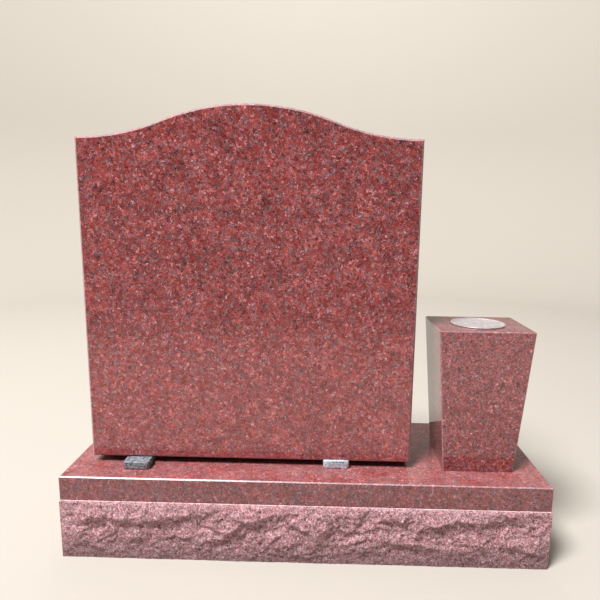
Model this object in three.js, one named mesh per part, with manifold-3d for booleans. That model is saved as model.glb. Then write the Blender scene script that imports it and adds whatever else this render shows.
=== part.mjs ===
// Upright headstone of red granite: a serpentine-topped tablet and a tapered flower vase on one base.
// Millimetres, +Z up. The origin is on the ground under the middle of the base and the front faces -Y.

import * as THREE from "three";
import { mergeVertices } from "three/addons/utils/BufferGeometryUtils.js";
import Module from "manifold-3d";

// Driving dimensions
const base_height = 162;
const band_height = 49; // polished band round the top of the base
const arris = 3.5; // small chamfer along the tablet's edges, measured along each face
const fine_arris = 2; // the same on the base and the vase

const tablet_width = 622;
const tablet_thickness = 152;
const tablet_shoulder = 606; // height of the two ends of the top
const tablet_crest = 58; // rise of the middle of the top above its ends
const left_margin = 39; // of the base's top, beside the tablet
const front_margin = 64; // in front of the tablet
const back_margin = 89; // behind the tablet

const vase_top_width = 178;
const vase_top_depth = 148;
const vase_foot = 135; // square
const vase_height = 278;
const vase_gap = 42; // from the tablet's side to the vase's top edge
const right_margin = 33; // from the vase's top edge to the base's right end
const vase_from_front = 127; // from the base's front face to the vase's middle
const well_diameter = 90;
const well_floor = 73; // solid stone under the well

const lid_lap = 7; // how far the lid covers the stone round the well
const lid_thickness = 1.6;
const lid_edge = 0.5; // chamfer under the lid's rim
const lid_bead = 0.6; // height of the round rim above the lid's face
const lid_bead_width = 5;
const lid_bead_top = 2; // flat on top of the rim
const collar_depth = 11; // ring under the lid that drops into the well
const collar_wall = 1.5;
const collar_play = 0.8; // between the collar and the wall of the well, all round

const spacer_width = 47;
const spacer_length = 150;
const spacer_round = 3; // radius of its long edges
const bedding = 13; // height of the open joint between base and tablet
const left_spacer_inset = 95; // from the tablet's left side to the spacer's middle
const left_spacer_proud = 31; // how far it stands out in front of the tablet
const right_spacer_inset = 143; // from the tablet's right side
const right_spacer_proud = 8;

const seat_gap = 0.3; // between pieces that rest on each other

// The pitched stone below the polished band
const pitch_front = 3; // how far its corner lines stand out from the band, front and back
const pitch_side = 1; // the same at the two ends
const pitch_stand = 15; // furthest that its faces stand out from those corner lines
const pitch_brow = 34; // how far below the ledge a face reaches its full stand
const pitch_heel = 80; // how far above the ground it keeps it
const pitch_turn = 46; // how far in from the corner lines it reaches it
const pitch_step = 13; // spacing of the points along and up each face
const ledge_fall = 2; // drop of the narrow ledge under the band, outwards
const top_share = 0.3; // share of its full stand that a face keeps at the ledge
const foot_share = 0.1; // the same at the ground
const shell_rows = 2; // rows of shells broken off a face
const shell_level = 0.42; // usual place of a shell's middle in the height of its row
const shell_spacing = 88; // between neighbours in a row
const shell_long = 60; // half length of a shell of middle size
const shell_above = 15; // from its middle up to its upper lip
const shell_below = 44; // from its middle down to its lower edge
const shell_floor = 4; // stand of the stone in its middle
const shell_rise = 6; // from there to its rim
const shell_lean = 0.55; // most that it leans from level either way, in radians

// Sizes that follow from the others
const base_width = left_margin + tablet_width + vase_gap + vase_top_width + right_margin;
const base_depth = front_margin + tablet_thickness + back_margin;
const half_width = base_width / 2;
const half_depth = base_depth / 2;
const pitch_height = base_height - band_height;
const tablet_x = -half_width + left_margin + tablet_width / 2;
const tablet_y = -half_depth + front_margin + tablet_thickness / 2;
const tablet_z = base_height + bedding;
const tablet_front = -half_depth + front_margin;
const vase_x = half_width - right_margin - vase_top_width / 2;
const vase_y = -half_depth + vase_from_front;
const vase_z = base_height + seat_gap;
const vase_top_z = vase_z + vase_height;
const lid_diameter = well_diameter + 2 * lid_lap;

const polished = new THREE.MeshStandardMaterial({ color: 0x9c4a45, roughness: 0.15, metalness: 0 });
const pitched = new THREE.MeshStandardMaterial({ color: 0xb06a66, roughness: 0.85, metalness: 0 });
const packing = new THREE.MeshStandardMaterial({ color: 0x8b8d90, roughness: 0.8, metalness: 0 });
const metal = new THREE.MeshStandardMaterial({ color: 0xd8d8d6, roughness: 0.4, metalness: 0.8 });

const wasm = await Module();
wasm.setup();

// A closed solid from any closed geometry, ready to be cut.
function solid(geometry) {
  const bare = geometry.clone();
  bare.deleteAttribute("normal");
  bare.deleteAttribute("uv");
  const merged = mergeVertices(bare, 1e-4);
  const vertProperties = new Float32Array(merged.attributes.position.array);
  const triVerts = new Uint32Array(merged.index.array);
  return new wasm.Manifold(new wasm.Mesh({ numProp: 3, vertProperties, triVerts }));
}

function geometryOf(manifold) {
  const mesh = manifold.getMesh();
  const geometry = new THREE.BufferGeometry();
  geometry.setAttribute("position", new THREE.BufferAttribute(new Float32Array(mesh.vertProperties), 3));
  geometry.setIndex(new THREE.BufferAttribute(new Uint32Array(mesh.triVerts), 1));
  return geometry;
}

function piece(name, geometry, material) {
  const mesh = new THREE.Mesh(geometry, material);
  mesh.name = name;
  return mesh;
}

// A closed solid through rings of points, listed from the bottom up, all rings with the same count.
function throughRings(rings) {
  const count = rings[0].length;
  const points = rings.flat();
  const faces = [];
  for (let level = 0; level + 1 < rings.length; level += 1) {
    for (let i = 0; i < count; i += 1) {
      const a = level * count + i;
      const b = level * count + (i + 1) % count;
      faces.push(a, b, b + count, a, b + count, a + count);
    }
  }
  const top = (rings.length - 1) * count;
  const contour = (ring) => ring.map(([x, y]) => new THREE.Vector2(x, y));
  for (const [i, j, k] of THREE.ShapeUtils.triangulateShape(contour(rings[0]), [])) {
    faces.push(k, j, i);
  }
  for (const [i, j, k] of THREE.ShapeUtils.triangulateShape(contour(rings.at(-1)), [])) {
    faces.push(top + i, top + j, top + k);
  }
  const geometry = new THREE.BufferGeometry();
  geometry.setAttribute("position", new THREE.Float32BufferAttribute(points.flat(), 3));
  geometry.setIndex(faces);
  return geometry;
}

// Repeatable random numbers from 0 to 1.
function randomFrom(seed) {
  let state = seed;
  return () => {
    state = (Math.imul(state, 1664525) + 1013904223) >>> 0;
    return state / 4294967296;
  };
}

// The shells broken off a pitched face, in staggered rows: each is steep under its upper lip and gentle below.
function shells(length, seed) {
  const random = randomFrom(seed);
  const about = (middle, spread) => middle * (1 + spread * (2 * random() - 1));
  const across = Math.round(length / shell_spacing);
  const bowls = [];
  for (let row = 0; row < shell_rows; row += 1) {
    for (let i = -1; i <= across; i += 1) {
      bowls.push({
        u: ((i + 0.5 * (row % 2) + about(0.5, 0.7)) * length) / across,
        v: ((row + about(shell_level, 0.6)) * pitch_height) / shell_rows,
        lean: shell_lean * (2 * random() - 1),
        long: about(shell_long, 0.35),
        above: about(shell_above, 0.3),
        below: about(shell_below, 0.3),
        floor: about(shell_floor, 0.8),
      });
    }
  }
  return bowls;
}

// A quarter sine from 0 at an edge to 1 at the given distance in from it.
function easeIn(distance, reach) {
  return Math.sin((Math.min(Math.max(distance / reach, 0), 1) * Math.PI) / 2);
}

// How far a pitched face stands out at u along it and v above the ground.
function standOut(u, v, face) {
  const ends = easeIn(Math.min(u, face.length - u), pitch_turn);
  const below = foot_share + (1 - foot_share) * easeIn(v, pitch_heel);
  const above = top_share + (1 - top_share) * easeIn(pitch_height - v, pitch_brow);
  let depth = pitch_stand;
  for (const bowl of face.bowls) {
    const du = u - bowl.u;
    const dv = v - bowl.v;
    const along = (du * Math.cos(bowl.lean) + dv * Math.sin(bowl.lean)) / bowl.long;
    const rise = dv * Math.cos(bowl.lean) - du * Math.sin(bowl.lean);
    const athwart = rise / (rise > 0 ? bowl.above : bowl.below);
    depth = Math.min(depth, bowl.floor + shell_rise * (along * along + athwart * athwart));
  }
  return depth * ends * Math.min(below, above);
}

// The base's four faces, walked anticlockwise from its front left corner as seen from above.
const faces = [
  { length: base_width + 2 * pitch_side, seed: 11 },
  { length: base_depth + 2 * pitch_front, seed: 42 },
  { length: base_width + 2 * pitch_side, seed: 37 },
  { length: base_depth + 2 * pitch_front, seed: 52 },
].map((face) => ({ ...face, bowls: shells(face.length, face.seed) }));

// A ring round the base on a rectangle, each face standing out by out(face, u).
function ringRound(half_x, half_y, z, out) {
  const corners = [[-half_x, -half_y], [half_x, -half_y], [half_x, half_y], [-half_x, half_y]];
  const outward = [[0, -1], [1, 0], [0, 1], [-1, 0]];
  const ring = [];
  faces.forEach((face, side) => {
    const [x0, y0] = corners[side];
    const [x1, y1] = corners[(side + 1) % 4];
    const columns = Math.round(face.length / pitch_step);
    for (let i = 0; i < columns; i += 1) {
      const share = i / columns;
      const off = out(face, share * face.length);
      const x = x0 + (x1 - x0) * share + outward[side][0] * off;
      const y = y0 + (y1 - y0) * share + outward[side][1] * off;
      ring.push([x, y, z]);
    }
  });
  return ring;
}

function base() {
  const flat = () => 0;
  const rings = [];
  const rows = Math.round(pitch_height / pitch_step);
  for (let row = 0; row <= rows; row += 1) {
    const v = (pitch_height * row) / rows;
    const out = (face, u) => standOut(u, v, face);
    rings.push(ringRound(half_width + pitch_side, half_depth + pitch_front, v, out));
  }
  rings.push(ringRound(half_width, half_depth, pitch_height + ledge_fall, flat));
  const top_x = half_width - fine_arris;
  const top_y = half_depth - fine_arris;
  rings.push(ringRound(half_width, half_depth, base_height - fine_arris, flat));
  rings.push(ringRound(top_x, top_y, base_height, flat));
  return throughRings(rings);
}

// The tablet's face: straight sides under a hump between two hollows, all drawn with one radius.
function serpentine() {
  const half = tablet_width / 2 - arris;
  const foot = arris;
  const shoulder = tablet_shoulder - arris;
  const turn = 2 * Math.atan(tablet_crest / half);
  const radius = half / Math.sin(turn) / 2;
  const right = Math.PI / 2;
  const outline = new THREE.Shape();
  outline.moveTo(-half, foot);
  outline.lineTo(half, foot);
  outline.absarc(half, shoulder + radius, radius, -right, -right - turn, true);
  outline.absarc(0, shoulder + tablet_crest - radius, radius, right - turn, right + turn, false);
  outline.absarc(-half, shoulder + radius, radius, -right + turn, -right, true);
  outline.closePath();
  return outline;
}

function tablet() {
  const geometry = new THREE.ExtrudeGeometry(serpentine(), {
    depth: tablet_thickness - 2 * arris,
    curveSegments: 12,
    bevelEnabled: true,
    bevelSegments: 1,
    bevelSize: arris,
    bevelThickness: arris,
  });
  geometry.translate(0, 0, arris - tablet_thickness / 2);
  geometry.rotateX(Math.PI / 2);
  return geometry;
}

function spacer() {
  const half = spacer_width / 2;
  const height = bedding - 2 * seat_gap;
  const r = spacer_round;
  const right = Math.PI / 2;
  const section = new THREE.Shape();
  section.moveTo(-half + r, 0);
  section.absarc(half - r, r, r, -right, 0, false);
  section.absarc(half - r, height - r, r, 0, right, false);
  section.absarc(-half + r, height - r, r, right, 2 * right, false);
  section.absarc(-half + r, r, r, 2 * right, 3 * right, false);
  const geometry = new THREE.ExtrudeGeometry(section, {
    depth: spacer_length,
    curveSegments: 3,
    bevelEnabled: false,
  });
  geometry.translate(0, 0, -spacer_length);
  geometry.rotateX(Math.PI / 2);
  return geometry;
}

// A rectangle with its four corners cut off.
function chamferedRing(width, depth, z) {
  const x = width / 2;
  const y = depth / 2;
  const c = fine_arris;
  return [
    [-x + c, -y, z], [x - c, -y, z], [x, -y + c, z], [x, y - c, z],
    [x - c, y, z], [-x + c, y, z], [-x, y - c, z], [-x, -y + c, z],
  ];
}

function vase() {
  const block = throughRings([
    chamferedRing(vase_foot, vase_foot, 0),
    chamferedRing(vase_top_width, vase_top_depth, vase_height - fine_arris),
    chamferedRing(vase_top_width - 2 * fine_arris, vase_top_depth - 2 * fine_arris, vase_height),
  ]);
  const over = 10; // the bore runs out past the top
  const length = vase_height - well_floor + over;
  const bore = new THREE.CylinderGeometry(well_diameter / 2, well_diameter / 2, length, 48);
  bore.rotateX(Math.PI / 2);
  bore.translate(0, 0, vase_height + over - length / 2);
  return geometryOf(solid(block).subtract(solid(bore)));
}

// A pressed disc with a beaded rim, and a collar under it that keeps it in the well.
function vaseLid() {
  const rim = lid_diameter / 2;
  const outer = well_diameter / 2 - collar_play;
  const inner = outer - collar_wall;
  const bead = rim - lid_bead_width / 2;
  const crown = lid_thickness + lid_bead;
  const profile = [
    [0, 0], [inner, 0], [inner, -collar_depth], [outer, -collar_depth], [outer, 0],
    [rim - lid_edge, 0], [rim, lid_edge], [rim, lid_thickness],
    [bead + lid_bead_top / 2, crown], [bead - lid_bead_top / 2, crown],
    [rim - lid_bead_width, lid_thickness], [0, lid_thickness],
  ].map(([r, z]) => new THREE.Vector2(r, z));
  const geometry = new THREE.LatheGeometry(profile, 48);
  geometry.rotateX(Math.PI / 2);
  return geometry;
}

const headstone = new THREE.Group();
headstone.name = "headstone";

headstone.add(piece("base", base(), pitched));

const tablet_mesh = piece("tablet", tablet(), polished);
tablet_mesh.position.set(tablet_x, tablet_y, tablet_z);
headstone.add(tablet_mesh);

const spacers = [
  ["spacer_left", tablet_x - tablet_width / 2 + left_spacer_inset, left_spacer_proud],
  ["spacer_right", tablet_x + tablet_width / 2 - right_spacer_inset, right_spacer_proud],
];
for (const [name, x, proud] of spacers) {
  const mesh = piece(name, spacer(), packing);
  mesh.position.set(x, tablet_front - proud, base_height + seat_gap);
  headstone.add(mesh);
}

const vase_mesh = piece("vase", vase(), polished);
vase_mesh.position.set(vase_x, vase_y, vase_z);
headstone.add(vase_mesh);

const lid_mesh = piece("vase_lid", vaseLid(), metal);
lid_mesh.position.set(vase_x, vase_y, vase_top_z + seat_gap);
headstone.add(lid_mesh);

export default headstone;
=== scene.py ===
"""Looks of an upright headstone of red granite, with a pale floor, soft light and the camera."""

import math

import bpy
import numpy as np
from mathutils import Matrix, Vector


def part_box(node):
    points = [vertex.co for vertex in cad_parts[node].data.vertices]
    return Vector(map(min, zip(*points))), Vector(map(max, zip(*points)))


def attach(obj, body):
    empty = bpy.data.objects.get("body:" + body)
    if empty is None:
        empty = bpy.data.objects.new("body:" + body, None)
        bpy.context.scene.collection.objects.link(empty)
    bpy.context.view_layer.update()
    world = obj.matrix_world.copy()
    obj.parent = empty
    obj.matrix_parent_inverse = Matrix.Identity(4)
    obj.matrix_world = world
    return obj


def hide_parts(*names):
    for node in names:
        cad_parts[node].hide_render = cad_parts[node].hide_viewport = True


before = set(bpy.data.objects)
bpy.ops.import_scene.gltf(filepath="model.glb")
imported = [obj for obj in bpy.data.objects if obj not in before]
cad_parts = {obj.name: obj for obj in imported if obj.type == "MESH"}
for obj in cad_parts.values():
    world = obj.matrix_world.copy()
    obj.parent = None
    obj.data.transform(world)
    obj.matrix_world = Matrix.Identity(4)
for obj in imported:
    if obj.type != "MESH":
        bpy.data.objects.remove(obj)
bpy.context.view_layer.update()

MM = 0.001

# Sizes that the parts' boxes don't give, as the solids have them
ARRIS = 3.5 * MM  # chamfer along the tablet's edges
FINE_ARRIS = 2 * MM  # the same on the base and the vase
CREST = 58 * MM  # rise of the tablet's middle above its ends
BAND = 49 * MM  # height of the polished band round the base
LEDGE_FALL = 2 * MM  # drop of the narrow ledge under the band, outwards
PITCH_FRONT = 3 * MM  # stand of the pitched corner lines from the band, front and back
PITCH_SIDE = 1 * MM  # the same at the two ends
PITCH_STAND = 15 * MM  # furthest that a pitched face stands out from them
PITCH_BROW = 34 * MM  # how far below the ledge a face reaches its full stand
PITCH_HEEL = 80 * MM  # height above the ground down to which it keeps it
PITCH_TURN = 46 * MM  # how far from its ends it reaches it
TOP_SHARE = 0.3  # share of its full stand that a face keeps at the ledge
FOOT_SHARE = 0.1  # the same at the ground
VASE_FOOT = 135 * MM  # square
WELL_RADIUS = 45 * MM
WELL_FLOOR = 73 * MM  # solid stone under the well
COLLAR_DEPTH = 11 * MM  # ring under the lid that drops into the well
COLLAR_WALL = 1.5 * MM
COLLAR_PLAY = 0.8 * MM  # between the collar and the wall of the well
LID_PLATE = 1.6 * MM  # thickness of the lid's disc
LID_EDGE = 0.5 * MM  # chamfer under its rim
BEAD_HALF = 2.5 * MM  # half the width of the round bead along its rim
SPACER_ROUND = 3 * MM  # radius of the packing's long edges

# Shells broken off the pitched faces: the solids' large ones, then two smaller sizes. The bottom of a shell
# stands out by floor. It rises by rise at the reach long along it, and at above and below across it. The
# stone between the shells stands out by uncut.
LARGE = dict(
    rows=2, level=0.42, spacing=88 * MM, lean=0.55, long=60 * MM, above=15 * MM, below=44 * MM,
    floor=4 * MM, rise=6 * MM, uncut=PITCH_STAND,
)
MIDDLE = dict(
    rows=6, level=0.5, spacing=36 * MM, lean=0.8, long=22 * MM, above=7 * MM, below=14 * MM,
    floor=0.8 * MM, rise=4 * MM, uncut=4.8 * MM,
)
SMALL = dict(
    rows=15, level=0.5, spacing=13 * MM, lean=1.2, long=9 * MM, above=4 * MM, below=6 * MM,
    floor=0.3 * MM, rise=2.1 * MM, uncut=2.6 * MM,
)

# The pitched faces' seeds and the spacing of their columns: front, right end, back and left end
FACE_SEEDS = (11, 42, 37, 52)
COLUMN_STEPS = (2.2 * MM, 3 * MM, 3.6 * MM, 3 * MM)
ROW_STEP = 2.3 * MM
MIDDLE_SEED, SMALL_SEED, FACET_SEED = 100, 200, 300  # added to a face's own seed

# Finer forms of the pitched faces
BEND_CELL = 25 * MM  # size of the swells that bend the shells' edges
BEND_ALONG, BEND_UP = 8 * MM, 6 * MM
RUFFLE_CELL = 8 * MM  # size of the smaller swells on top of those
RUFFLE = 2.5 * MM
FACET_LONG, FACET_HIGH = 15 * MM, 8 * MM  # usual size of the flat facets that the shells are broken into
FACET_TILT = 0.2
GRIT_CELL = 5 * MM
GRIT = 0.5 * MM
FULL_GRIT = 3  # facets and grit are whole where a face has a third of its stand
SWELLS = 64  # random swells along and up before they repeat

# Finish of the stones and the lid, and the steps of their curves
LIP = 0.9 * MM  # sawn strip of the ledge next to the band
WELL_CHAMFER = 1 * MM
VASE_STEPS = 14  # faces along each side of the vase
ARC_STEPS = 40  # faces along each hollow arc of the tablet's top
ROUND_STEPS = 96  # faces round the lid and the floor
BEAD_STEPS = 12  # faces over the bead
DISH_IN, DISH_FALL = 12 * MM, 0.3 * MM  # the lid's lowest ring: in from its rim, and below the plate's top
MIDDLE_RADIUS, MIDDLE_FALL = 6 * MM, 0.1 * MM  # the flat in the lid's middle

# Finish of the packing
SPACER_ACROSS, SPACER_UP = 25, 5  # points along its flat top and underside, and up its flat sides
EDGE_STEP = 15  # degrees between the points round its long edges
SPACER_END = 1.4 * MM  # radius of the edges of its two ends
END_STEPS = 5  # sections over each of those edges
SPACER_TURN = 7 * MM  # radius of its front corners, seen from above
SPACER_TUCK = 1.6 * MM  # how far the foot of its front end is drawn back
TUCK_DEPTH = 12 * MM  # how far in from the front end the tuck fades out
STATION_STEP = 1.2 * MM  # between the sections along it
FIRST_GAP, LAST_GAP = 1 * MM, 0.5 * MM  # from these to the ends' edges, the last one at least
DENT, DENT_CELL = 0.5 * MM, 9 * MM
FINE_DENT, FINE_DENT_CELL = 0.3 * MM, 4 * MM
CREASE_LONG = 13 * MM  # half the length of the crease across the right packing's front end
CREASE_ASIDE = 2.6 * MM  # from the packing's middle to the crease's, to the right
CREASE_FALL = 3 * MM  # its depth below the top of the front end
CREASE_DEEP = 5 * MM
CREASE_HALF, CREASE_ROUND = 0.5 * MM, 0.5 * MM  # half its height, made of a flat and a rounding

# Materials on the faces of the stone pieces, by their place in each piece's list
POLISHED, CHAMFER = 0, 1
PITCHED, LEDGE, BASE_TOP = 2, 3, 4
VASE_TOP = 2

# Where in the quarry's stone each block's pattern lies
BASE_BLOCK = (0.0, 0.0, 0.0)
TABLET_BLOCK = (1.7, 0.4, 0.9)
VASE_BLOCK = (3.1, 2.2, 0.3)

# Minerals of the granite
RED_DEEP = (0.138, 0.02, 0.019)
RED = (0.196, 0.032, 0.03)
RED_LIGHT = (0.24, 0.048, 0.046)
SALMON = (0.31, 0.09, 0.088)
QUARTZ_DARK = (0.085, 0.037, 0.046)
QUARTZ = (0.152, 0.074, 0.083)
QUARTZ_LIGHT = (0.25, 0.15, 0.165)
MICA = (0.05, 0.018, 0.021)
GLINT = (0.42, 0.2, 0.215)

# Patterns of the granite, with their scales in features to the metre
CRYSTALS = 170.0
GRAINS, GRAIN_SHIFT = 430.0, 3.0  # within a crystal, and set apart from the crystals' own pattern
STIR_SCALE, STIR = 230.0, 0.012  # of the noise that bends the crystals' outlines, and how far it does
PATCHES, PATCH_SHIFT = 40.0, 13.0  # broad lighter and darker patches
SPECKLE = 430.0
DARK_SPECKS, PALE_SPECKS = 0.85, 1.2  # what they take from the light or add to it, times the depth
QUARTZ_CLUMPS = dict(scale=96.0, shift=1.0, weight=0.22, start=0.58, full=0.84)
MICA_CLUMPS = dict(scale=120.0, shift=5.0, weight=0.35, start=0.85, full=0.9)
GLINT_CLUMPS = dict(scale=150.0, shift=8.0, weight=0.3, start=0.83, full=0.9)
POLISH_IOR = 1.56

# Dust on the polished faces: its share of the colour at the foot and higher up, and a painted light that
# brightens the stone at the foot
FILM_FOOT, FILM_TOP = 0.22, 0.58
BAND_FILM = dict(colour=(0.13, 0.09, 0.1), foot_share=0.3, top_share=0.3, foot_painted_light=1.0)
TABLET_FILM = dict(colour=(0.33, 0.09, 0.094), foot_share=0.12, top_share=0.0, foot_painted_light=1.1)
VASE_FILM = dict(colour=(0.26, 0.115, 0.122), foot_share=0.1, top_share=0.6, foot_painted_light=1.0)

# Dust, wear and breakage
DUST, DUST_SCALE = (0.8, 0.72, 0.74), 24.0
REDDENING = 0.3  # share of plain red in the tops, where the grain shows less
RUBBED_AND_SHEEN = (0.72, 0.58, 0.64)  # the chamfers: partly their rubbed finish, partly a painted sheen
FROST, FROST_SCALE = (0.75, 0.482, 0.53), 330.0
SPECKS = 470.0
BREAK_SCALE, BREAK_DEPTH = 210.0, 3.5 * MM
BRUISE, BRUISE_SCALE = (0.82, 0.68, 0.7), 160.0
FOOT_SHADE_HEIGHT = 60 * MM  # height up to which painted shade darkens the pitched stone towards the ground
FOOT_SHADE_LIGHT = 0.5  # the stone's light at the ground, under that painted shade

# Packing and lid
PACKING_TINT = (0.92, 1.0, 1.12)
PACKING_SCALE, PIT_SCALE = 300.0, 320.0
METAL_DULL, METAL_BRIGHT = (0.5, 0.46, 0.475), (0.7, 0.645, 0.665)
MOTTLE_SCALE = 160.0

# The floor dims towards the viewer, so that the polished faces mirror a soft change of tone
FLOOR_PALE, FLOOR_DIM = -0.9, -2.8  # y where the dimming starts and ends
FLOOR_BEIGE = (0.46, 0.43, 0.385)
FLOOR_GREY = (0.15, 0.145, 0.135)
FLOOR_MIDDLE, FLOOR_RING = 0.05, 1.0  # radii of the floor's inner rings
FLOOR_FLAT = 3.2  # radius of the flat
FLOOR_BEND = 1.4  # radius of the bend round it
WALL_TOP = 4.2
BEND_STEPS = 16

# Lights, in metres and watts
WORLD_COLOUR, WORLD_LIGHT = (0.96, 0.98, 1.0, 1), 0.22
KEY = dict(place=(-2.5, -3.0, 6.4), target=(0, 0, 0.3), size=2.4, power=1050, colour=(1.0, 0.985, 0.985))
BACKDROP = dict(place=(0, 1.9, 3.9), target=(0, 4.4, 1.2), size=1.6, power=60, colour=(1.0, 0.99, 0.97))

# Camera, in the image's own pixels, in metres and in radians
IMAGE = 600
FOCAL_PX = 551.5
CENTRE_PX = (310.2, 308.9)
EYE = Vector((0.0311, -1.0962, 0.6563))
TURN, TILT, LEAN = 0.0241, -0.1773, -0.0124
SENSOR = 36  # width in millimetres


def box_size(node):
    low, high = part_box(node)
    return low, high, high - low


# Meshes

def add_piece(name, points, faces, materials, face_material, smooth, sharp):
    """A mesh object from points and faces, with a material and a shading for each face."""
    mesh = bpy.data.meshes.new(name)
    mesh.from_pydata([tuple(p) for p in points], [], faces)
    for material in materials:
        mesh.materials.append(material)
    mesh.polygons.foreach_set("material_index", face_material)
    mesh.polygons.foreach_set("use_smooth", smooth)
    if sharp:
        wanted = {tuple(sorted(pair)) for pair in sharp}
        flags = [tuple(sorted(edge.vertices)) in wanted for edge in mesh.edges]
        attribute = mesh.attributes.new("sharp_edge", "BOOLEAN", "EDGE")
        attribute.data.foreach_set("value", flags)
    mesh.validate()
    mesh.update()
    piece = bpy.data.objects.new(name, mesh)
    bpy.context.scene.collection.objects.link(piece)
    return piece


def stands_for(piece, node):
    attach(piece, "root")
    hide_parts(node)


class Skin:
    """Faces through rings of points that all have the same count, with a material index for each band."""

    def __init__(self):
        self.points = []
        self.faces = []
        self.material = []
        self.smooth = []
        self.sharp = []
        self.count = 0
        self.last = None

    def ring(self, points, material=0, smooth=False, crease=False):
        start = len(self.points)
        count = len(points)
        self.points.extend(points)
        if self.last is not None:
            for i in range(count):
                j = (i + 1) % count
                self.faces.append((self.last + i, self.last + j, start + j, start + i))
                self.material.append(material)
                self.smooth.append(smooth)
        if crease:
            self.sharp.extend((start + i, start + (i + 1) % count) for i in range(count))
        self.last = start
        self.count = count

    def upright_creases(self, columns):
        """Marks the edges that run from ring to ring at some columns as sharp."""
        for start in range(0, len(self.points) - self.count, self.count):
            self.sharp.extend((start + i, start + self.count + i) for i in columns)

    def cap(self, up, material=0):
        ring = [self.last + i for i in range(self.count)]
        self.faces.append(tuple(ring if up else reversed(ring)))
        self.material.append(material)
        self.smooth.append(False)

    def turn_inside_out(self):
        self.faces = [tuple(reversed(face)) for face in self.faces]

    def piece(self, name, materials):
        return add_piece(name, self.points, self.faces, materials, self.material, self.smooth, self.sharp)


def circle(x, y, radius, z):
    turn = [2 * math.pi * i / ROUND_STEPS for i in range(ROUND_STEPS)]
    return [(x + radius * math.cos(a), y + radius * math.sin(a), z) for a in turn]


# Pitched stone

class Repeatable:
    """The same random numbers from 0 to 1 as the solids use."""

    def __init__(self, seed):
        self.state = seed

    def draw(self):
        self.state = (self.state * 1664525 + 1013904223) & 0xFFFFFFFF
        return self.state / 4294967296

    def about(self, middle, spread):
        return middle * (1 + spread * (2 * self.draw() - 1))


class Shells:
    """Shells broken off a pitched face, in staggered rows: steep under the upper lip and gentle below."""

    def __init__(self, face, seed, size):
        random = Repeatable(seed)
        across = round(face.length / size["spacing"])
        self.rise = size["rise"]
        self.uncut = size["uncut"]
        self.bowls = []
        for row in range(size["rows"]):
            for i in range(-1, across + 1):
                self.bowls.append(dict(
                    u=(i + 0.5 * (row % 2) + random.about(0.5, spread=0.7)) * face.length / across,
                    v=(row + random.about(size["level"], spread=0.6)) * face.height / size["rows"],
                    lean=size["lean"] * (2 * random.draw() - 1),
                    long=random.about(size["long"], spread=0.35),
                    above=random.about(size["above"], spread=0.3),
                    below=random.about(size["below"], spread=0.3),
                    floor=random.about(size["floor"], spread=0.8),
                ))

    def stand(self, u, v):
        """How far the stone left between the shells stands out."""
        stand = np.full(u.shape, self.uncut)
        for bowl in self.bowls:
            du = u - bowl["u"]
            dv = v - bowl["v"]
            along = (du * math.cos(bowl["lean"]) + dv * math.sin(bowl["lean"])) / bowl["long"]
            athwart = dv * math.cos(bowl["lean"]) - du * math.sin(bowl["lean"])
            athwart = np.where(athwart > 0, athwart / bowl["above"], athwart / bowl["below"])
            stand = np.minimum(stand, bowl["floor"] + self.rise * (along ** 2 + athwart ** 2))
        return stand


def ease_in(distance, reach):
    return np.sin(np.clip(distance / reach, 0, 1) * math.pi / 2)


def uneven(u, v, cell, seed):
    """Smooth random values from -1 to 1, with about one swell in each cell."""
    table = np.random.default_rng(seed).uniform(-1, 1, (SWELLS, SWELLS))
    column, row = np.floor(u / cell).astype(int), np.floor(v / cell).astype(int)
    across, up = u / cell - column, v / cell - row
    across, up = across * across * (3 - 2 * across), up * up * (3 - 2 * up)

    def at(i, j):
        return table[(column + i) % SWELLS, (row + j) % SWELLS]

    low = at(0, 0) * (1 - across) + at(1, 0) * across
    high = at(0, 1) * (1 - across) + at(1, 1) * across
    return low * (1 - up) + high * up


class Facets:
    """Flat facets at random tilts, each the nearest to its own scattered middle."""

    def __init__(self, face, seed):
        random = np.random.default_rng(seed)
        self.shape = (math.ceil(face.length / FACET_LONG) + 3, math.ceil(face.height / FACET_HIGH) + 3)
        self.middle = random.uniform(0.1, 0.9, (2, *self.shape))
        self.tilt = random.uniform(-FACET_TILT, FACET_TILT, (2, *self.shape))

    def stand(self, u, v):
        column, row = np.floor(u / FACET_LONG).astype(int) + 1, np.floor(v / FACET_HIGH).astype(int) + 1
        nearest = np.full(u.shape, np.inf)
        stand = np.zeros(u.shape)
        for i in (-1, 0, 1):
            for j in (-1, 0, 1):
                at = (np.clip(column + i, 0, self.shape[0] - 1), np.clip(row + j, 0, self.shape[1] - 1))
                du = u - (at[0] - 1 + self.middle[0][at]) * FACET_LONG
                dv = v - (at[1] - 1 + self.middle[1][at]) * FACET_HIGH
                distance = (du / FACET_LONG) ** 2 + (dv / FACET_HIGH) ** 2
                plane = self.tilt[0][at] * du + self.tilt[1][at] * dv
                stand = np.where(distance < nearest, plane, stand)
                nearest = np.minimum(distance, nearest)
        return stand


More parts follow.
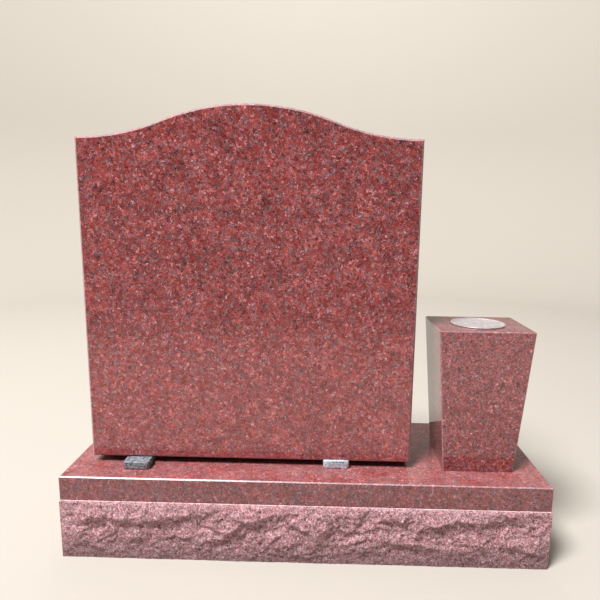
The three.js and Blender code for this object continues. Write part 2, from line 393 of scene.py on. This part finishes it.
class PitchedFace:
    """One of the base's four broken faces."""

    def __init__(self, length, height, seed, step):
        self.length = length
        self.height = height
        self.seed = seed
        self.columns = round(length / step)
        self.large = Shells(self, seed, LARGE)
        self.middle = Shells(self, seed + MIDDLE_SEED, MIDDLE)
        self.small = Shells(self, seed + SMALL_SEED, SMALL)
        self.facets = Facets(self, seed + FACET_SEED)

    def share(self, u, v):
        """The share of its full stand that the face has at a place."""
        ends = ease_in(np.minimum(u, self.length - u), PITCH_TURN)
        below = FOOT_SHARE + (1 - FOOT_SHARE) * ease_in(v, PITCH_HEEL)
        above = TOP_SHARE + (1 - TOP_SHARE) * ease_in(self.height - v, PITCH_BROW)
        return ends * np.minimum(below, above)

    def stand(self, u, v):
        seed = self.seed
        bent_u = u + BEND_ALONG * uneven(u, v, BEND_CELL, seed)
        bent_u = bent_u + RUFFLE * uneven(u, v, RUFFLE_CELL, seed + 1)
        bent_v = v + BEND_UP * uneven(u, v, BEND_CELL, seed + 2)
        bent_v = bent_v + RUFFLE * uneven(u, v, RUFFLE_CELL, seed + 3)
        stand = self.large.stand(bent_u, bent_v)
        stand = stand - self.middle.uncut + self.middle.stand(bent_u, bent_v)
        stand = stand - self.small.uncut + self.small.stand(bent_u, bent_v)
        rough = self.facets.stand(bent_u, bent_v) + GRIT * uneven(u, v, GRIT_CELL, seed + 4)
        share = self.share(u, v)
        return stand * share + rough * np.minimum(1, share * FULL_GRIT)


# Material nodes

def shader(name):
    material = bpy.data.materials.new(name)
    material.use_nodes = True
    tree = material.node_tree
    return material, tree, tree.nodes["Principled BSDF"]


def node(tree, kind, inputs=None, **settings):
    made = tree.nodes.new(kind)
    for key, value in settings.items():
        setattr(made, key, value)
    for key, value in (inputs or {}).items():
        if isinstance(value, bpy.types.NodeSocket):
            tree.links.new(value, made.inputs[key])
        else:
            made.inputs[key].default_value = value
    return made


def object_place(tree):
    return node(tree, "ShaderNodeTexCoord").outputs["Object"]


def height_of(tree, place):
    return node(tree, "ShaderNodeSeparateXYZ", {0: place}).outputs[2]


def noise(tree, place, scale, detail):
    return node(tree, "ShaderNodeTexNoise", {"Vector": place, "Scale": scale, "Detail": detail}).outputs[0]


def ramp(tree, value, stops):
    """A colour or a grey that changes with a value, by stops of place and colour."""
    made = node(tree, "ShaderNodeValToRGB", {0: value})
    elements = made.color_ramp.elements
    while len(elements) < len(stops):
        elements.new(0.5)
    for element, (place, colour) in zip(elements, stops):
        element.position = place
        element.color = (colour, colour, colour, 1) if isinstance(colour, float) else (*colour, 1)
    return made.outputs[0]


def mix(tree, share, first, second, blend="MIX"):
    made = node(tree, "ShaderNodeMix", data_type="RGBA", blend_type=blend)
    for key, value in ((0, share), (6, first), (7, second)):
        if isinstance(value, bpy.types.NodeSocket):
            tree.links.new(value, made.inputs[key])
        else:
            made.inputs[key].default_value = value if isinstance(value, float) else (*value, 1)
    return made.outputs[2]


def times(tree, first, second):
    return mix(tree, 1.0, first, second, "MULTIPLY")


# Granite

def stirred(tree, place):
    """The place, pushed about so that the crystals' outlines are ragged."""
    stir_noise = {"Vector": place, "Scale": STIR_SCALE, "Detail": 3.0}
    stir = node(tree, "ShaderNodeTexNoise", stir_noise).outputs["Color"]
    stir = node(tree, "ShaderNodeVectorMath", {0: stir, 1: (0.5,) * 3}, operation="SUBTRACT").outputs[0]
    stir = node(tree, "ShaderNodeVectorMath", {0: stir, "Scale": STIR}, operation="SCALE").outputs[0]
    return node(tree, "ShaderNodeVectorMath", {0: place, 1: stir}, operation="ADD").outputs[0]


def shifted(tree, place, shift):
    return node(tree, "ShaderNodeVectorMath", {0: place, 1: (shift,) * 3}, operation="ADD").outputs[0]


def cells(tree, place, scale, shift):
    """Three random numbers for each cell of a pattern of crystals."""
    found = node(tree, "ShaderNodeTexVoronoi", {"Vector": shifted(tree, place, shift), "Scale": scale})
    return node(tree, "ShaderNodeSeparateColor", {0: found.outputs["Color"]}).outputs


def where(tree, place, crystal, scale, shift, weight, start, full):
    """How much of a crystal is a mineral, from 0 to 1: only crystals in the mineral's clumps have any."""
    clump = noise(tree, shifted(tree, place, shift), scale, detail=2.0)
    total = node(tree, "ShaderNodeMath", {0: crystal, 1: weight, 2: clump}, operation="MULTIPLY_ADD")
    return ramp(tree, total.outputs[0], [(0.0, 0.0), (start, 0.0), (full, 1.0)])


def granite(tree, block):
    """Colour of the stone: interlocked red feldspar, grey quartz and flecks of mica.

    It comes with the place that it is read at, and with the random numbers of its fine grains.
    """
    place = node(tree, "ShaderNodeMapping", {"Vector": object_place(tree), "Location": block}).outputs[0]
    place = stirred(tree, place)
    crystal = cells(tree, place, CRYSTALS, shift=0.0)
    grain = cells(tree, place, GRAINS, GRAIN_SHIFT)
    feldspar = ramp(tree, crystal[0], [(0.0, RED_DEEP), (0.35, RED), (0.75, RED_LIGHT), (1.0, SALMON)])
    feldspar = times(tree, feldspar, ramp(tree, grain[0], [(0.0, 0.7), (0.5, 0.98), (1.0, 1.35)]))
    quartz = ramp(tree, grain[1], [(0.0, QUARTZ_DARK), (0.6, QUARTZ), (1.0, QUARTZ_LIGHT)])
    colour = mix(tree, where(tree, place, crystal[1], **QUARTZ_CLUMPS), feldspar, quartz)
    colour = mix(tree, where(tree, place, grain[2], **MICA_CLUMPS), colour, MICA)
    colour = mix(tree, where(tree, place, grain[1], **GLINT_CLUMPS), colour, GLINT)
    patches = noise(tree, shifted(tree, place, PATCH_SHIFT), PATCHES, detail=2.0)
    colour = times(tree, colour, ramp(tree, patches, [(0.3, 0.8), (0.7, 1.2)]))
    return colour, place, grain


def speckled(tree, colour, place, depth=0.55):
    """The colour with the fine light and shade of single grains."""
    shades = [(0.33, 1 - DARK_SPECKS * depth), (0.5, 1.0), (0.67, 1 + PALE_SPECKS * depth)]
    return times(tree, colour, ramp(tree, noise(tree, place, SPECKLE, detail=2.0), shades))


def roughened(tree, surface, grain, least, most):
    """Gives each fine grain its own roughness."""
    tree.links.new(ramp(tree, grain[1], [(0.0, least), (1.0, most)]), surface.inputs["Roughness"])


def polished_granite(name, block, film, depth):
    """Polished stone under a thin film of dust whose share changes with height, and painted light that
    brightens the foot.
    """
    material, tree, surface = shader(name)
    colour, place, grain = granite(tree, block)
    height = height_of(tree, object_place(tree))

    def by_height(foot, top):
        limits = {0: height, 1: FILM_FOOT, 2: FILM_TOP, 3: foot, 4: top}
        return node(tree, "ShaderNodeMapRange", limits).outputs[0]

    share = by_height(film["foot_share"], film["top_share"])
    colour = speckled(tree, mix(tree, share, colour, film["colour"]), place, depth)
    # Painted light: the colour is brightened towards the foot.
    colour = times(tree, colour, by_height(film["foot_painted_light"], 1.0))
    tree.links.new(colour, surface.inputs["Base Color"])
    roughened(tree, surface, grain, least=0.05, most=0.12)
    surface.inputs["IOR"].default_value = POLISH_IOR
    return material


def dusted_granite(name, block, light, ior, gloss):
    """A polished top, dulled and faintly lightened by fine dust, with its colour scaled by light: painted
    light above 1, painted shade below 1.
    """
    material, tree, surface = shader(name)
    colour, place, grain = granite(tree, block)
    colour = speckled(tree, mix(tree, REDDENING, colour, RED), place, depth=0.75)
    # Painted light and shade: light scales the colour, up on the base's top and down on the vase's top.
    colour = times(tree, colour, (light, light, light))
    dust = ramp(tree, noise(tree, place, DUST_SCALE, detail=4.0), [(0.3, 0.02), (0.7, 0.09)])
    tree.links.new(mix(tree, dust, colour, DUST), surface.inputs["Base Color"])
    roughened(tree, surface, grain, least=0.08, most=0.16)
    surface.inputs["IOR"].default_value = ior
    surface.inputs["Specular IOR Level"].default_value = gloss
    return material


def arris_granite(name, block, pale):
    """The narrow chamfers, rubbed but not fully polished, and paler partly for that and partly by a painted
    sheen.
    """
    material, tree, surface = shader(name)
    colour, place, grain = granite(tree, block)
    # The pale mix is partly the rubbed finish and partly a painted sheen.
    colour = speckled(tree, mix(tree, pale, colour, RUBBED_AND_SHEEN), place)
    tree.links.new(colour, surface.inputs["Base Color"])
    roughened(tree, surface, grain, least=0.28, most=0.42)
    surface.inputs["IOR"].default_value = POLISH_IOR
    return material


def pitched_granite(name, block):
    """Broken stone: the same crystals, whitened by their fractured faces, with painted shade near the
    ground.
    """
    material, tree, surface = shader(name)
    colour, place, grain = granite(tree, block)
    frost = noise(tree, place, FROST_SCALE, detail=3.0)
    frost = ramp(tree, frost, [(0.38, 0.04), (0.5, 0.38), (0.62, 0.84)])
    colour = mix(tree, frost, speckled(tree, colour, place), FROST)
    specks = noise(tree, place, SPECKS, detail=2.0)
    specks = ramp(tree, specks, [(0.36, 0.46), (0.5, 1.0), (0.64, 1.36)])
    colour = times(tree, colour, specks)
    # Painted shade: the colour darkens towards the ground.
    limits = {0: height_of(tree, place), 1: 0.0, 2: FOOT_SHADE_HEIGHT, 3: FOOT_SHADE_LIGHT, 4: 1.0}
    foot_shade = node(tree, "ShaderNodeMapRange", limits).outputs[0]
    tree.links.new(times(tree, colour, foot_shade), surface.inputs["Base Color"])
    roughened(tree, surface, grain, least=0.55, most=0.9)
    break_noise = {"Vector": place, "Scale": BREAK_SCALE, "Detail": 5.0, "Roughness": 0.75}
    broken = node(tree, "ShaderNodeTexNoise", break_noise).outputs[0]
    bump = node(tree, "ShaderNodeBump", {"Height": broken, "Strength": 0.9, "Distance": BREAK_DEPTH})
    tree.links.new(bump.outputs[0], surface.inputs["Normal"])
    return material


def ledge_granite(name, block):
    """The sawn and chipped ledge under the band, bruised nearly white."""
    material, tree, surface = shader(name)
    colour, place, _ = granite(tree, block)
    bruises = ramp(tree, noise(tree, place, BRUISE_SCALE, detail=3.0), [(0.35, 0.3), (0.55, 0.8)])
    tree.links.new(mix(tree, bruises, colour, BRUISE), surface.inputs["Base Color"])
    surface.inputs["Roughness"].default_value = 0.7
    return material


# Packing and metal

def packing_rubber(name, tone, contrast):
    """Grey packing with a fine speckle and shallow pits."""
    material, tree, surface = shader(name)
    place = object_place(tree)
    shades = [(0.36, 1 - contrast), (0.46, 0.85), (0.56, 1.05), (0.68, 1 + contrast)]
    colours = [(stop, tuple(tone * shade * tint for tint in PACKING_TINT)) for stop, shade in shades]
    grain = ramp(tree, noise(tree, place, PACKING_SCALE, detail=5.0), colours)
    tree.links.new(grain, surface.inputs["Base Color"])
    surface.inputs["Roughness"].default_value = 0.6
    pits = node(tree, "ShaderNodeTexVoronoi", {"Vector": place, "Scale": PIT_SCALE}).outputs["Distance"]
    bump = node(tree, "ShaderNodeBump", {"Height": pits, "Strength": 0.6, "Distance": 1 * MM})
    tree.links.new(bump.outputs[0], surface.inputs["Normal"])
    return material


def lid_metal():
    """Pale satin metal, faintly mottled by weather."""
    material, tree, surface = shader("lid_metal")
    mottle = noise(tree, object_place(tree), MOTTLE_SCALE, detail=5.0)
    colour = ramp(tree, mottle, [(0.35, METAL_DULL), (0.65, METAL_BRIGHT)])
    tree.links.new(colour, surface.inputs["Base Color"])
    tree.links.new(ramp(tree, mottle, [(0.3, 0.38), (0.7, 0.55)]), surface.inputs["Roughness"])
    surface.inputs["Metallic"].default_value = 0.75
    return material


# Base

def base_ring(faces, reach_x, reach_y, z, broken=False):
    """Points round the base at one height, on its pitched faces where broken, else on a plain oblong."""
    corners = [(-reach_x, -reach_y), (reach_x, -reach_y), (reach_x, reach_y), (-reach_x, reach_y)]
    outward = [(0, -1), (1, 0), (0, 1), (-1, 0)]
    points = []
    for side, face in enumerate(faces):
        share = np.arange(face.columns) / face.columns
        (x0, y0), (x1, y1) = corners[side], corners[(side + 1) % 4]
        out = face.stand(share * face.length, np.full(share.shape, z)) if broken else 0 * share
        x = x0 + (x1 - x0) * share + outward[side][0] * out
        y = y0 + (y1 - y0) * share + outward[side][1] * out
        points.extend(zip(x, y, np.full(share.shape, z)))
    return points


def pitched_skin(faces, reach_x, reach_y, height):
    """The underside and the pitched stone above it, up to the ledge."""
    skin = Skin()
    rows = round(height / ROW_STEP)
    for row in range(rows + 1):
        ring = base_ring(faces, reach_x, reach_y, height * row / rows, broken=True)
        skin.ring(ring, material=PITCHED, smooth=True, crease=row == 0)
        if row == 0:
            skin.cap(up=False, material=PITCHED)
    return skin


def base(materials):
    """The base: pitched stone up to a narrow ledge, then the polished band, its arris and its top."""
    _, high, _ = box_size("base")
    half_x = high.x - PITCH_SIDE - PITCH_STAND
    half_y = high.y - PITCH_FRONT - PITCH_STAND
    top = high.z
    height = top - BAND
    lengths = (2 * (half_x + PITCH_SIDE), 2 * (half_y + PITCH_FRONT)) * 2
    faces = [
        PitchedFace(length, height, seed, step)
        for length, seed, step in zip(lengths, FACE_SEEDS, COLUMN_STEPS)
    ]
    skin = pitched_skin(faces, half_x + PITCH_SIDE, half_y + PITCH_FRONT, height)
    lip_fall = LEDGE_FALL * LIP / PITCH_FRONT
    lip_ring = base_ring(faces, half_x + LIP, half_y + LIP, height + LEDGE_FALL - lip_fall)
    skin.ring(lip_ring, material=PITCHED, smooth=True)
    skin.ring(base_ring(faces, half_x, half_y, height + LEDGE_FALL), material=LEDGE, crease=True)
    skin.ring(base_ring(faces, half_x, half_y, top - FINE_ARRIS), material=POLISHED)
    skin.ring(base_ring(faces, half_x - FINE_ARRIS, half_y - FINE_ARRIS, top), material=CHAMFER)
    skin.cap(up=True, material=BASE_TOP)
    skin.upright_creases([sum(face.columns for face in faces[:side]) for side in range(4)])
    return skin.piece("base_stone", materials)


# Tablet

def serpentine(half, shoulder, grow):
    """The face's outline, moved outwards by grow, anticlockwise from its bottom left corner.

    Two hollow arcs rise from the shoulders to a round one, all of one radius.
    """
    turn = 2 * math.atan(CREST / half)
    radius = half / math.sin(turn) / 2
    hollow, crown = radius - grow, radius + grow
    points = [(-half - grow, ARRIS - grow), (half + grow, ARRIS - grow), (half + grow, shoulder + grow)]
    for i in range(1, ARC_STEPS):
        angle = turn * i / ARC_STEPS
        points.append((half - hollow * math.sin(angle), shoulder + radius - hollow * math.cos(angle)))
    for i in range(2 * ARC_STEPS + 1):
        angle = turn * (1 - i / ARC_STEPS)
        points.append((crown * math.sin(angle), shoulder + CREST - radius + crown * math.cos(angle)))
    for i in range(ARC_STEPS - 1, 0, -1):
        angle = turn * i / ARC_STEPS
        points.append((-half + hollow * math.sin(angle), shoulder + radius - hollow * math.cos(angle)))
    points.append((-half - grow, shoulder + grow))
    return points


def tablet(materials):
    """The tablet: a serpentine outline carried from front to back, chamfered all round both faces."""
    low, high, size = box_size("tablet")
    middle = (low.x + high.x) / 2
    half = size.x / 2 - ARRIS
    shoulder = size.z - CREST - ARRIS

    def ring(grow, y):
        return [(middle + x, y, low.z + z) for x, z in serpentine(half, shoulder, grow)]

    skin = Skin()
    skin.ring(ring(0, low.y), crease=True)
    skin.cap(up=True)
    skin.ring(ring(ARRIS, low.y + ARRIS), material=CHAMFER, smooth=True, crease=True)
    skin.ring(ring(ARRIS, high.y - ARRIS), material=POLISHED, smooth=True, crease=True)
    skin.ring(ring(0, high.y), material=CHAMFER, smooth=True, crease=True)
    skin.cap(up=False)
    skin.upright_creases((0, 1, 2, skin.count - 1))
    skin.turn_inside_out()
    return skin.piece("tablet_stone", materials)


# Packing

class Packing:
    """A soft block, squeezed under the tablet and swollen where it stands out in front of it."""

    def __init__(self, cad_node, seed, swell_up, swell_in):
        """It swells by swell_up, and takes a length of swell_in in front of the tablet to do so."""
        self.name = cad_node + "_block"
        self.low, self.high, self.size = box_size(cad_node)
        self.tablet_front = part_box("tablet")[0].y
        self.middle = (self.low.x + self.high.x) / 2
        self.right = self.size.x / 2 - SPACER_ROUND
        self.top = self.size.z - SPACER_ROUND
        self.seed = seed
        self.swell_up = swell_up
        self.swell_in = swell_in
        self.x, self.z, self.out_x, self.out_z = (np.array(column) for column in zip(*self.section()))

    def section(self):
        """The middles of the roundings and the ways out of them, anticlockwise from the bottom left."""
        right, top, foot = self.right, self.top, SPACER_ROUND
        across = np.linspace(-right, right, SPACER_ACROSS)
        quarter = np.radians(np.arange(EDGE_STEP, 90, EDGE_STEP))
        section = [(x, foot, 0.0, -1.0) for x in across]
        section += [(right, foot, math.sin(a), -math.cos(a)) for a in quarter]
        section += [(right, z, 1.0, 0.0) for z in np.linspace(foot, top, SPACER_UP)]
        section += [(right, top, math.cos(a), math.sin(a)) for a in quarter]
        section += [(x, top, 0.0, 1.0) for x in across[::-1]]
        section += [(-right, top, -math.sin(a), math.cos(a)) for a in quarter]
        section += [(-right, z, -1.0, 0.0) for z in np.linspace(top, foot, SPACER_UP)]
        section += [(-right, foot, -math.cos(a), -math.sin(a)) for a in quarter]
        return section

    def tucked(self, y, z):
        """The y of a point at height z over the packing's bed: the foot of the front end is drawn back."""
        fade = max(0, 1 - (y - self.low.y) / TUCK_DEPTH)
        return y + SPACER_TUCK * fade * (1 - np.clip(z / self.size.z, 0, 1))

    def placed(self, x, y, z, deeper=0):
        return list(zip(self.middle + x, self.tucked(y, z) + deeper, self.low.z + z))

    def crease(self, deep):
        """The mouth of the crease across the front end, or its bottom."""
        up = 2 * (self.z - SPACER_ROUND) / (self.top - SPACER_ROUND) - 1
        x = CREASE_ASIDE + self.x * CREASE_LONG / self.right + self.out_x * CREASE_ROUND
        z = self.size.z + self.swell_up - CREASE_FALL + up * CREASE_HALF + self.out_z * CREASE_ROUND
        return self.placed(x, self.low.y, z, deep)

    def dents(self, y, height):
        broad = DENT * uneven(self.x + y, height + 3 * y, DENT_CELL, self.seed)
        return broad + FINE_DENT * uneven(self.x, y + height, FINE_DENT_CELL, self.seed + 1)

    def station(self, y, reach):
        """The points of one section at y, its rounding drawn in to reach of its full radius."""
        swell = float(ease_in(self.tablet_front - y, self.swell_in)) * self.swell_up
        turned = min(y - self.low.y, SPACER_TURN)
        narrower = SPACER_TURN - math.sqrt(SPACER_TURN ** 2 - (SPACER_TURN - turned) ** 2)
        height = self.z + swell * np.clip((self.z - SPACER_ROUND) / (self.top - SPACER_ROUND), 0, 1)
        out = SPACER_ROUND * reach - np.maximum(self.dents(y, height), 0)
        x = self.x * (1 + (swell - 2 * narrower) / self.size.x) + self.out_x * out
        return self.placed(x, y, height + self.out_z * out)

    def stations(self):
        """Where the sections stand, each with the share of its rounding's radius that it keeps."""
        front = [
            (self.low.y + SPACER_END * (1 - math.cos(a)), 1 - SPACER_END / SPACER_ROUND * (1 - math.sin(a)))
            for a in np.linspace(0, math.pi / 2, END_STEPS)
        ]
        back = [(self.high.y - (y - self.low.y), reach) for y, reach in reversed(front)]
        first = self.low.y + SPACER_END + FIRST_GAP
        limit = self.high.y - SPACER_END - LAST_GAP
        along = [(y, 1.0) for y in np.arange(first, limit, STATION_STEP)]
        return front + along + back

    def piece(self, material, creased):
        skin = Skin()
        if creased:
            skin.ring(self.crease(CREASE_DEEP))
            skin.cap(up=True)
            skin.ring(self.crease(0), crease=True)
        for index, (y, reach) in enumerate(self.stations()):
            skin.ring(self.station(y, reach), smooth=True)
            if index == 0 and not creased:
                skin.cap(up=True)
        skin.cap(up=False)
        skin.turn_inside_out()
        return skin.piece(self.name, [material])


# Vase and lid

def chamfered_square(centre, width, depth, z):
    """A square with its corners cut, with the same steps along each side."""
    x, y, cut = width / 2, depth / 2, FINE_ARRIS
    sides = [
        ((-x + cut, -y), (x - cut, -y)),
        ((x, -y + cut), (x, y - cut)),
        ((x - cut, y), (-x + cut, y)),
        ((-x, y - cut), (-x, -y + cut)),
    ]
    points = []
    for (x0, y0), (x1, y1) in sides:
        for i in range(VASE_STEPS + 1):
            share = i / VASE_STEPS
            points.append((centre[0] + x0 + (x1 - x0) * share, centre[1] + y0 + (y1 - y0) * share, z))
    return points


def drawn_round(centre, ring, radius, z):
    """The points of a ring, drawn in to a circle."""
    points = []
    for x, y, _ in ring:
        angle = math.atan2(y - centre[1], x - centre[0])
        points.append((centre[0] + radius * math.cos(angle), centre[1] + radius * math.sin(angle), z))
    return points


def vase(materials):
    """The vase: a tapered block with chamfered edges and a bored well."""
    low, high, size = box_size("vase")
    centre = ((low.x + high.x) / 2, (low.y + high.y) / 2)
    top = chamfered_square(centre, size.x - 2 * FINE_ARRIS, size.y - 2 * FINE_ARRIS, high.z)
    rim = drawn_round(centre, top, WELL_RADIUS + WELL_CHAMFER, high.z)
    throat = drawn_round(centre, top, WELL_RADIUS, high.z - WELL_CHAMFER)
    skin = Skin()
    skin.ring(chamfered_square(centre, VASE_FOOT, VASE_FOOT, low.z), crease=True)
    skin.cap(up=False, material=CHAMFER)
    skin.ring(chamfered_square(centre, size.x, size.y, high.z - FINE_ARRIS), material=POLISHED, crease=True)
    for column in range(VASE_STEPS, skin.count, VASE_STEPS + 1):
        skin.material[1 + column] = CHAMFER
    skin.ring(top, material=CHAMFER, crease=True)
    skin.ring(rim, material=VASE_TOP, crease=True)
    skin.ring(throat, material=CHAMFER, crease=True)
    well_floor = drawn_round(centre, top, WELL_RADIUS, low.z + WELL_FLOOR)
    skin.ring(well_floor, material=CHAMFER, smooth=True, crease=True)
    skin.cap(up=True, material=CHAMFER)
    return skin.piece("vase_stone", materials)


def lid(metal):
    """The lid: a thin disc with a rolled rim, and the collar that drops into the well."""
    low, high, size = box_size("vase_lid")
    x, y = (low.x + high.x) / 2, (low.y + high.y) / 2
    rim = size.x / 2
    under = low.z + COLLAR_DEPTH
    upper = under + LID_PLATE
    outer = WELL_RADIUS - COLLAR_PLAY
    inner = outer - COLLAR_WALL
    sharp = [(inner, under), (inner, low.z), (outer, low.z), (outer, under)]
    sharp += [(rim - LID_EDGE, under), (rim, under + LID_EDGE)]
    profile = list(sharp)
    for i in range(BEAD_STEPS + 1):
        angle = math.pi * i / BEAD_STEPS
        radius = rim - BEAD_HALF + BEAD_HALF * math.cos(angle)
        profile.append((radius, upper + (high.z - under - LID_PLATE) * math.sin(angle)))
    profile.append((rim - DISH_IN, upper - DISH_FALL))
    profile.append((MIDDLE_RADIUS, upper - MIDDLE_FALL))
    skin = Skin()
    for index, (radius, z) in enumerate(profile):
        is_sharp = index < len(sharp)
        skin.ring(circle(x, y, radius, z), smooth=not is_sharp, crease=is_sharp)
        if index == 0:
            skin.cap(up=False)
    skin.cap(up=True)
    return skin.piece("vase_lid_disc", [metal])


# Studio

def floor_paint():
    material, tree, surface = shader("pale_floor")
    depth = node(tree, "ShaderNodeSeparateXYZ", {0: object_place(tree)}).outputs[1]
    limits = {0: depth, 1: FLOOR_DIM, 2: FLOOR_PALE}
    pale = node(tree, "ShaderNodeMapRange", limits, interpolation_type="SMOOTHSTEP").outputs[0]
    tree.links.new(ramp(tree, pale, [(0.0, FLOOR_GREY), (1.0, FLOOR_BEIGE)]), surface.inputs["Base Color"])
    surface.inputs["Roughness"].default_value = 0.9
    surface.inputs["Specular IOR Level"].default_value = 0.1
    return material


def floor():
    """A pale sweep: flat under the stone, curving up all round at a distance."""
    material = floor_paint()
    profile = [(FLOOR_MIDDLE, 0.0), (FLOOR_RING, 0.0), (FLOOR_FLAT, 0.0)]
    for i in range(1, BEND_STEPS + 1):
        angle = math.pi / 2 * i / BEND_STEPS
        radius = FLOOR_FLAT + FLOOR_BEND * math.sin(angle)
        profile.append((radius, FLOOR_BEND - FLOOR_BEND * math.cos(angle)))
    profile.append((FLOOR_FLAT + FLOOR_BEND, WALL_TOP))
    skin = Skin()
    for index, (radius, z) in enumerate(profile):
        skin.ring(circle(0, 0, radius, z), smooth=True)
        if index == 0:
            skin.cap(up=False)
    skin.turn_inside_out()
    skin.piece("floor", [material])


def area_light(name, place, target, size, power, colour):
    light = bpy.data.lights.new(name, "AREA")
    light.shape = "DISK"
    light.size = size
    light.energy = power
    light.color = colour
    lamp = bpy.data.objects.new(name, light)
    lamp.location = place
    lamp.rotation_euler = (Vector(target) - Vector(place)).to_track_quat("-Z", "Y").to_euler()
    bpy.context.scene.collection.objects.link(lamp)


def lights():
    world = bpy.data.worlds.new("studio")
    world.use_nodes = True
    background = world.node_tree.nodes["Background"]
    background.inputs["Color"].default_value = WORLD_COLOUR
    background.inputs["Strength"].default_value = WORLD_LIGHT
    bpy.context.scene.world = world
    area_light("key", **KEY)
    area_light("backdrop", **BACKDROP)


def camera():
    data = bpy.data.cameras.new("camera")
    data.sensor_width = SENSOR
    data.lens = FOCAL_PX * data.sensor_width / IMAGE
    data.shift_x = (IMAGE / 2 - CENTRE_PX[0]) / IMAGE
    data.shift_y = (CENTRE_PX[1] - IMAGE / 2) / IMAGE
    forward = Vector((-math.sin(TURN) * math.cos(TILT), math.cos(TURN) * math.cos(TILT), math.sin(TILT)))
    right = Vector((math.cos(TURN), math.sin(TURN), 0))
    down = forward.cross(right)
    level_right = right * math.cos(LEAN) + down * math.sin(LEAN)
    level_down = down * math.cos(LEAN) - right * math.sin(LEAN)
    turned = Matrix((level_right, -level_down, -forward)).transposed().to_4x4()
    shot = bpy.data.objects.new("camera", data)
    shot.matrix_world = Matrix.Translation(EYE) @ turned
    bpy.context.scene.collection.objects.link(shot)
    bpy.context.scene.camera = shot


camera()
floor()
lights()
bpy.context.scene.view_settings.view_transform = "Standard"

base_materials = [
    polished_granite("base_polished", BASE_BLOCK, BAND_FILM, depth=0.62),
    arris_granite("base_arris", BASE_BLOCK, pale=0.24),
    pitched_granite("base_pitched", BASE_BLOCK),
    ledge_granite("base_ledge", BASE_BLOCK),
    # light=1.12 is painted light on the base's top
    dusted_granite("base_top", BASE_BLOCK, light=1.12, ior=1.5, gloss=0.22),
]
tablet_materials = [
    polished_granite("tablet_polished", TABLET_BLOCK, TABLET_FILM, depth=0.6),
    arris_granite("tablet_arris", TABLET_BLOCK, pale=0.24),
]
vase_materials = [
    polished_granite("vase_polished", VASE_BLOCK, VASE_FILM, depth=0.86),
    arris_granite("vase_arris", VASE_BLOCK, pale=0.16),
    # light=0.72 is painted shade, standing for a dark reflection on the vase's top
    dusted_granite("vase_top", VASE_BLOCK, light=0.72, ior=1.22, gloss=0.18),
]
dark_rubber = packing_rubber("packing_dark", tone=0.205, contrast=0.8)
# The right packing's paler tone is painted light, standing for sun on its front.
painted_light_packing = packing_rubber("packing_painted_light", tone=0.53, contrast=0.5)
left_packing = Packing("spacer_left", seed=5, swell_up=3.6 * MM, swell_in=8 * MM)
right_packing = Packing("spacer_right", seed=8, swell_up=4.6 * MM, swell_in=3 * MM)

stands_for(base(base_materials), "base")
stands_for(tablet(tablet_materials), "tablet")
stands_for(left_packing.piece(dark_rubber, creased=False), "spacer_left")
stands_for(right_packing.piece(painted_light_packing, creased=True), "spacer_right")
stands_for(vase(vase_materials), "vase")
stands_for(lid(lid_metal()), "vase_lid")
